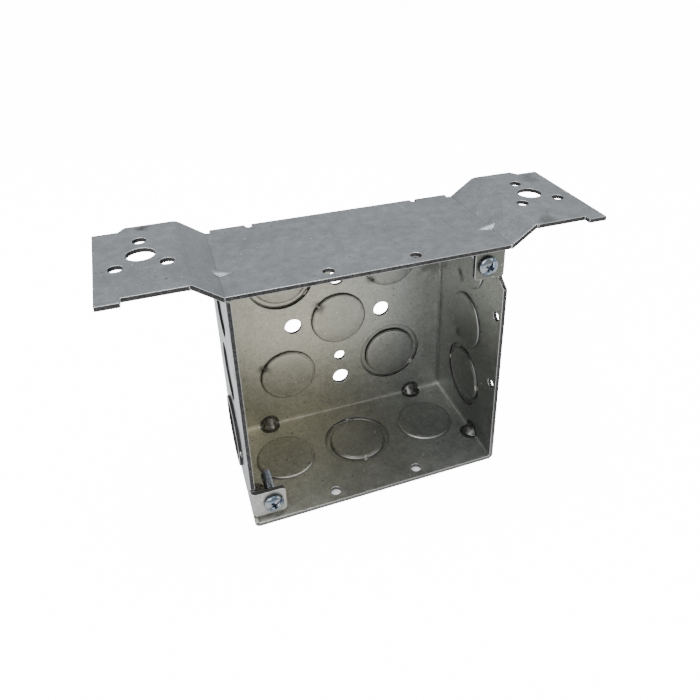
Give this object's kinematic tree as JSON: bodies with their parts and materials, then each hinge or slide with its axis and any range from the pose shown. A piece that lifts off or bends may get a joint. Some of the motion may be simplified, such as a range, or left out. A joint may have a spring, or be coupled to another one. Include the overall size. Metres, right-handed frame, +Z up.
{
  "type": "square electrical box",
  "caption": "Square steel wiring box folded from one sheet, with pry-out knockouts, two cover screws and raised hanger wings on its top plate.",
  "frame": {"origin": "under the middle of the whole part, on the surface that it stands on", "axes": "+X across the box along the hanger wings, +Y from the opening to the back wall, +Z up"},
  "size_m": [0.1778, 0.0594, 0.1099],
  "materials": {
    "galvanised_sheet": "hot-dip galvanised, dull with fine specks",
    "zinc_screw": "bright zinc plate"
  },
  "bodies": {
    "box": {"box_body": "galvanised_sheet"},
    "lower_screw": {"cover_screw_lower": "zinc_screw"},
    "upper_screw": {"cover_screw_upper": "zinc_screw"}
  },
  "joints": [
    {"name": "lower_screw_turn", "type": "hinge", "parent": "box", "child": "lower_screw", "pos_m": [-0.0427, -0.0256, 0.0098], "axis": [0, -1, 0], "continuous": true},
    {"name": "upper_screw_turn", "type": "hinge", "parent": "box", "child": "upper_screw", "pos_m": [0.0427, -0.0256, 0.0952], "axis": [0, -1, 0], "continuous": true}
  ]
}
